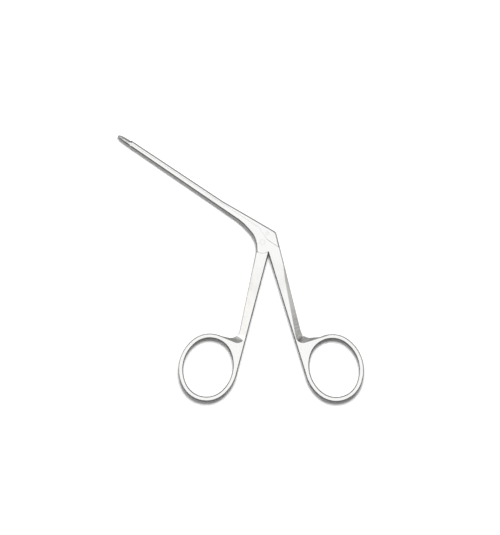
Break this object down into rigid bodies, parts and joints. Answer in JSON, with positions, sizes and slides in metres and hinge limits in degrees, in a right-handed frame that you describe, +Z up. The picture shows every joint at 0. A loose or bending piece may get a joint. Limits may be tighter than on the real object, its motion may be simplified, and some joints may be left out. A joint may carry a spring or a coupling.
{
  "type": "alligator forceps",
  "caption": "Ring-handled alligator forceps with a long slim shaft set at an angle to the handles; spreading the rings slides the upper shaft and opens a serrated jaw.",
  "frame": {"origin": "on the main pivot's axis, in the plane that the instrument lies on", "axes": "-X along the shaft to the jaws, +Z up from the resting plane, the handles and rings towards -Y"},
  "size_m": [0.136, 0.0733, 0.0038],
  "materials": {
    "satin_steel": "satin-brushed stainless steel with ground facets",
    "pin_steel": "fine-ground stainless steel"
  },
  "bodies": {
    "frame": {"fixed_frame": "satin_steel", "main_pivot_pin": "pin_steel", "jaw_pivot_pin": "pin_steel"},
    "slide": {"slide_rod": "satin_steel", "drive_pin": "pin_steel", "jaw_link_pin": "pin_steel"},
    "lever": {"front_handle": "satin_steel"},
    "jaw": {"upper_jaw": "satin_steel"}
  },
  "joints": [
    {"name": "handle_hinge", "type": "hinge", "parent": "frame", "child": "lever", "pos_m": [0, 0, 0.0019], "axis": [0, 0, -1], "range_deg": [0, 12]},
    {"name": "rod_slide", "type": "slide", "parent": "frame", "child": "slide", "axis": [1, 0, 0], "range_m": [0, 0.00083623]},
    {"name": "jaw_hinge", "type": "hinge", "parent": "frame", "child": "jaw", "pos_m": [-0.0653, 0.00345, 0.0019], "axis": [0, 0, -1], "range_deg": [0, 40]}
  ],
  "couplings": [
    {"joint": "rod_slide", "follows": "handle_hinge", "m_per_rad": 0.0039926},
    {"joint": "jaw_hinge", "follows": "handle_hinge", "ratio": 3.3333}
  ]
}
